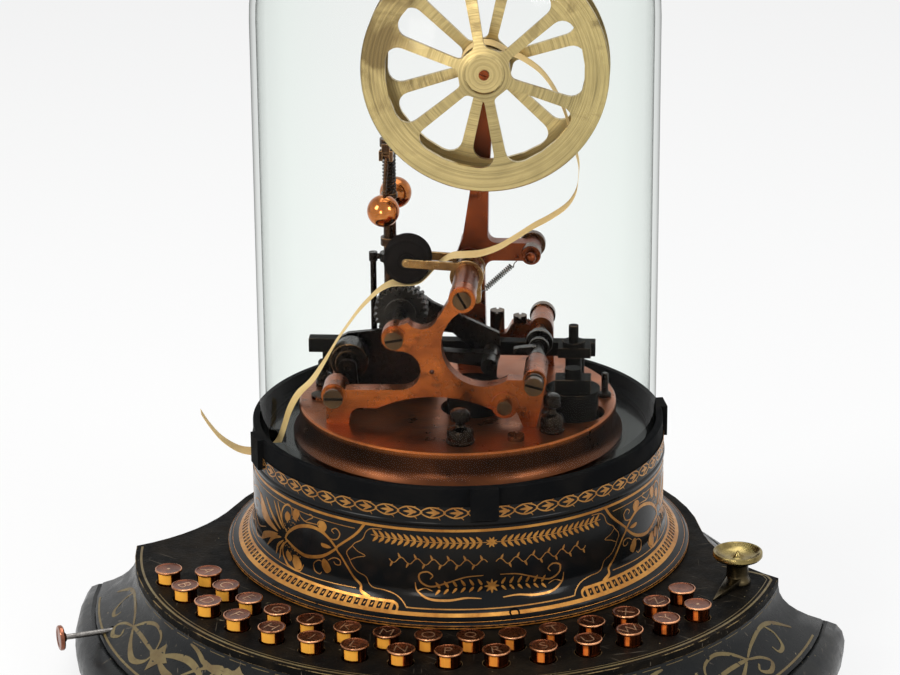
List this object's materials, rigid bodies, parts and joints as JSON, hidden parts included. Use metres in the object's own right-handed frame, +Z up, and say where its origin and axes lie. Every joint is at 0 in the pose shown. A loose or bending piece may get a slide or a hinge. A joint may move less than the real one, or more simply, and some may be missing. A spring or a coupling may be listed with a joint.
{
  "type": "stock ticker machine",
  "caption": "Glass-domed tape printer with brass works and a tape reel, standing on a japanned drum and a keyboard base.",
  "frame": {"origin": "on the drum's axis at the underside of the base", "axes": "-Y towards the keys, +X to the machine's right, +Z up along the drum's axis"},
  "size_m": [0.3774, 0.3514, 0.418],
  "materials": {
    "japan": "black japan with worn gold line work",
    "board": "dark stained board",
    "black_iron": "matt black",
    "copper_frame": "copper-coloured bronze, brushed and pitted",
    "red_bronze": "deep red-brown bronze",
    "dark_bronze": "dark bronze",
    "black_enamel": "black enamel",
    "screw_brass": "bright brass, slotted",
    "spring_steel": "dark wire",
    "tape_paper": "cream paper",
    "contact_brass": "plain brass",
    "dome_glass": "clear glass",
    "reel_brass": "pale brushed brass",
    "arm_brass": "brass",
    "roller_rubber": "black corded rubber",
    "dark_steel": "blackened steel with bright edges",
    "ball_copper": "polished copper",
    "selector_brass": "olive brass with a polished bowl",
    "plunger_copper": "coppery silver",
    "key_copper": "amber-copper cap with a bright rim"
  },
  "bodies": {
    "root": {"base_skirt": "japan", "keyboard_plate": "japan", "bottom_board": "board", "pedestal_drum": "japan", "dome_ring": "black_iron", "bed_plate": "copper_frame", "front_frame": "copper_frame", "rear_frame": "copper_frame", "reel_bracket": "red_bronze", "works_bracket": "dark_bronze", "electromagnets": "black_enamel", "frame_screws": "screw_brass", "binding_posts": "dark_bronze", "return_spring": "spring_steel", "paper_tape": "tape_paper", "contact_ring": "contact_brass"},
    "glass_dome": {"glass_dome": "dome_glass"},
    "tape_reel": {"tape_reel": "reel_brass"},
    "roller_arm": {"roller_arm": "arm_brass"},
    "pressure_roller": {"pressure_roller": "roller_rubber"},
    "type_wheel": {"type_wheel": "dark_steel"},
    "feed_roller": {"feed_roller": "dark_bronze"},
    "print_lever": {"print_lever": "dark_steel"},
    "escapement_shaft": {"escapement_shaft": "dark_steel"},
    "governor_spindle": {"governor_spindle": "dark_bronze"},
    "governor_ball_front": {"governor_ball_front": "ball_copper"},
    "governor_ball_rear": {"governor_ball_rear": "ball_copper"},
    "selector_knob": {"selector_knob": "selector_brass"},
    "side_plunger": {"side_plunger": "plunger_copper"},
    "trailer_arm": {"trailer_arm": "contact_brass"},
    "key_01": {"key_01": "key_copper"},
    "key_02": {"key_02": "key_copper"},
    "key_03": {"key_03": "key_copper"},
    "key_04": {"key_04": "key_copper"},
    "key_05": {"key_05": "key_copper"},
    "key_06": {"key_06": "key_copper"},
    "key_07": {"key_07": "key_copper"},
    "key_08": {"key_08": "key_copper"},
    "key_09": {"key_09": "key_copper"},
    "key_10": {"key_10": "key_copper"},
    "key_11": {"key_11": "key_copper"},
    "key_12": {"key_12": "key_copper"},
    "key_13": {"key_13": "key_copper"},
    "key_14": {"key_14": "key_copper"},
    "key_15": {"key_15": "key_copper"},
    "key_16": {"key_16": "key_copper"},
    "key_17": {"key_17": "key_copper"},
    "key_18": {"key_18": "key_copper"},
    "key_19": {"key_19": "key_copper"},
    "key_20": {"key_20": "key_copper"},
    "key_21": {"key_21": "key_copper"},
    "key_22": {"key_22": "key_copper"},
    "key_23": {"key_23": "key_copper"},
    "key_24": {"key_24": "key_copper"},
    "key_25": {"key_25": "key_copper"},
    "key_26": {"key_26": "key_copper"},
    "key_27": {"key_27": "key_copper"},
    "key_28": {"key_28": "key_copper"},
    "key_29": {"key_29": "key_copper"},
    "key_30": {"key_30": "key_copper"}
  },
  "joints": [
    {"name": "dome_lift", "type": "slide", "parent": "root", "child": "glass_dome", "axis": [0, 0, 1], "range_m": [0, 0.32]},
    {"name": "reel_spin", "type": "hinge", "parent": "root", "child": "tape_reel", "pos_m": [0.01396, 0.00105, 0.297], "axis": [-0.075, 0.9972, 0], "continuous": true},
    {"name": "roller_arm_lift", "type": "hinge", "parent": "root", "child": "roller_arm", "pos_m": [0.00499, 0.00038, 0.196], "axis": [-0.075, 0.9972, 0], "range_deg": [0, 25], "stiffness_Nm_per_rad": 0.03, "springref_deg": -8.59},
    {"name": "roller_spin", "type": "hinge", "parent": "roller_arm", "child": "pressure_roller", "pos_m": [-0.02376, -0.00179, 0.20231], "axis": [-0.075, 0.9972, 0], "continuous": true},
    {"name": "type_spin", "type": "hinge", "parent": "root", "child": "type_wheel", "pos_m": [-0.02692, -0.00202, 0.1765], "axis": [-0.075, 0.9972, 0], "continuous": true},
    {"name": "feed_spin", "type": "hinge", "parent": "root", "child": "feed_roller", "pos_m": [-0.05185, -0.0039, 0.152], "axis": [-0.075, 0.9972, 0], "continuous": true},
    {"name": "lever_tilt", "type": "hinge", "parent": "root", "child": "print_lever", "pos_m": [0.01596, 0.0012, 0.153], "axis": [-0.075, 0.9972, 0], "range_deg": [-3, 2]},
    {"name": "escapement_rock", "type": "hinge", "parent": "root", "child": "escapement_shaft", "pos_m": [0.03889, 0.00292, 0.1565], "axis": [-0.075, 0.9972, 0], "range_deg": [-6, 6]},
    {"name": "governor_spin", "type": "hinge", "parent": "root", "child": "governor_spindle", "pos_m": [-0.0351, 0.01742, 0.193], "axis": [0, 0, 1], "continuous": true},
    {"name": "ball_front_swing", "type": "hinge", "parent": "governor_spindle", "child": "governor_ball_front", "pos_m": [-0.0353, 0.01142, 0.25], "axis": [-0.9995, 0.0332, 0], "range_deg": [0, 25]},
    {"name": "ball_rear_swing", "type": "hinge", "parent": "governor_spindle", "child": "governor_ball_rear", "pos_m": [-0.03491, 0.02341, 0.25], "axis": [0.9995, -0.0332, 0], "range_deg": [0, 25]},
    {"name": "selector_turn", "type": "hinge", "parent": "root", "child": "selector_knob", "pos_m": [0.1393, -0.04, 0.06], "axis": [0, 0, 1], "range_deg": [-30, 30]},
    {"name": "plunger_slide", "type": "slide", "parent": "root", "child": "side_plunger", "axis": [-0.8894, -0.4571, 0], "range_m": [-0.012, 0], "stiffness_N_per_m": 150, "springref_m": 0.004},
    {"name": "trailer_spin", "type": "hinge", "parent": "root", "child": "trailer_arm", "pos_m": [0, 0, 0.0265], "axis": [0, 0, 1], "continuous": true},
    {"name": "key_01_press", "type": "slide", "parent": "root", "child": "key_01", "axis": [0, 0, -1], "range_m": [0, 0.003], "stiffness_N_per_m": 300, "springref_m": -0.003},
    {"name": "key_02_press", "type": "slide", "parent": "root", "child": "key_02", "axis": [0, 0, -1], "range_m": [0, 0.003], "stiffness_N_per_m": 300, "springref_m": -0.003},
    {"name": "key_03_press", "type": "slide", "parent": "root", "child": "key_03", "axis": [0, 0, -1], "range_m": [0, 0.003], "stiffness_N_per_m": 300, "springref_m": -0.003},
    {"name": "key_04_press", "type": "slide", "parent": "root", "child": "key_04", "axis": [0, 0, -1], "range_m": [0, 0.003], "stiffness_N_per_m": 300, "springref_m": -0.003},
    {"name": "key_05_press", "type": "slide", "parent": "root", "child": "key_05", "axis": [0, 0, -1], "range_m": [0, 0.003], "stiffness_N_per_m": 300, "springref_m": -0.003},
    {"name": "key_06_press", "type": "slide", "parent": "root", "child": "key_06", "axis": [0, 0, -1], "range_m": [0, 0.003], "stiffness_N_per_m": 300, "springref_m": -0.003},
    {"name": "key_07_press", "type": "slide", "parent": "root", "child": "key_07", "axis": [0, 0, -1], "range_m": [0, 0.003], "stiffness_N_per_m": 300, "springref_m": -0.003},
    {"name": "key_08_press", "type": "slide", "parent": "root", "child": "key_08", "axis": [0, 0, -1], "range_m": [0, 0.003], "stiffness_N_per_m": 300, "springref_m": -0.003},
    {"name": "key_09_press", "type": "slide", "parent": "root", "child": "key_09", "axis": [0, 0, -1], "range_m": [0, 0.003], "stiffness_N_per_m": 300, "springref_m": -0.003},
    {"name": "key_10_press", "type": "slide", "parent": "root", "child": "key_10", "axis": [0, 0, -1], "range_m": [0, 0.003], "stiffness_N_per_m": 300, "springref_m": -0.003},
    {"name": "key_11_press", "type": "slide", "parent": "root", "child": "key_11", "axis": [0, 0, -1], "range_m": [0, 0.003], "stiffness_N_per_m": 300, "springref_m": -0.003},
    {"name": "key_12_press", "type": "slide", "parent": "root", "child": "key_12", "axis": [0, 0, -1], "range_m": [0, 0.003], "stiffness_N_per_m": 300, "springref_m": -0.003},
    {"name": "key_13_press", "type": "slide", "parent": "root", "child": "key_13", "axis": [0, 0, -1], "range_m": [0, 0.003], "stiffness_N_per_m": 300, "springref_m": -0.003},
    {"name": "key_14_press", "type": "slide", "parent": "root", "child": "key_14", "axis": [0, 0, -1], "range_m": [0, 0.003], "stiffness_N_per_m": 300, "springref_m": -0.003},
    {"name": "key_15_press", "type": "slide", "parent": "root", "child": "key_15", "axis": [0, 0, -1], "range_m": [0, 0.003], "stiffness_N_per_m": 300, "springref_m": -0.003},
    {"name": "key_16_press", "type": "slide", "parent": "root", "child": "key_16", "axis": [0, 0, -1], "range_m": [0, 0.003], "stiffness_N_per_m": 300, "springref_m": -0.003},
    {"name": "key_17_press", "type": "slide", "parent": "root", "child": "key_17", "axis": [0, 0, -1], "range_m": [0, 0.003], "stiffness_N_per_m": 300, "springref_m": -0.003},
    {"name": "key_18_press", "type": "slide", "parent": "root", "child": "key_18", "axis": [0, 0, -1], "range_m": [0, 0.003], "stiffness_N_per_m": 300, "springref_m": -0.003},
    {"name": "key_19_press", "type": "slide", "parent": "root", "child": "key_19", "axis": [0, 0, -1], "range_m": [0, 0.003], "stiffness_N_per_m": 300, "springref_m": -0.003},
    {"name": "key_20_press", "type": "slide", "parent": "root", "child": "key_20", "axis": [0, 0, -1], "range_m": [0, 0.003], "stiffness_N_per_m": 300, "springref_m": -0.003},
    {"name": "key_21_press", "type": "slide", "parent": "root", "child": "key_21", "axis": [0, 0, -1], "range_m": [0, 0.003], "stiffness_N_per_m": 300, "springref_m": -0.003},
    {"name": "key_22_press", "type": "slide", "parent": "root", "child": "key_22", "axis": [0, 0, -1], "range_m": [0, 0.003], "stiffness_N_per_m": 300, "springref_m": -0.003},
    {"name": "key_23_press", "type": "slide", "parent": "root", "child": "key_23", "axis": [0, 0, -1], "range_m": [0, 0.003], "stiffness_N_per_m": 300, "springref_m": -0.003},
    {"name": "key_24_press", "type": "slide", "parent": "root", "child": "key_24", "axis": [0, 0, -1], "range_m": [0, 0.003], "stiffness_N_per_m": 300, "springref_m": -0.003},
    {"name": "key_25_press", "type": "slide", "parent": "root", "child": "key_25", "axis": [0, 0, -1], "range_m": [0, 0.003], "stiffness_N_per_m": 300, "springref_m": -0.003},
    {"name": "key_26_press", "type": "slide", "parent": "root", "child": "key_26", "axis": [0, 0, -1], "range_m": [0, 0.003], "stiffness_N_per_m": 300, "springref_m": -0.003},
    {"name": "key_27_press", "type": "slide", "parent": "root", "child": "key_27", "axis": [0, 0, -1], "range_m": [0, 0.003], "stiffness_N_per_m": 300, "springref_m": -0.003},
    {"name": "key_28_press", "type": "slide", "parent": "root", "child": "key_28", "axis": [0, 0, -1], "range_m": [0, 0.003], "stiffness_N_per_m": 300, "springref_m": -0.003},
    {"name": "key_29_press", "type": "slide", "parent": "root", "child": "key_29", "axis": [0, 0, -1], "range_m": [0, 0.003], "stiffness_N_per_m": 300, "springref_m": -0.003},
    {"name": "key_30_press", "type": "slide", "parent": "root", "child": "key_30", "axis": [0, 0, -1], "range_m": [0, 0.003], "stiffness_N_per_m": 300, "springref_m": -0.003}
  ],
  "couplings": [
    {"joint": "ball_rear_swing", "follows": "ball_front_swing", "ratio": 1}
  ]
}
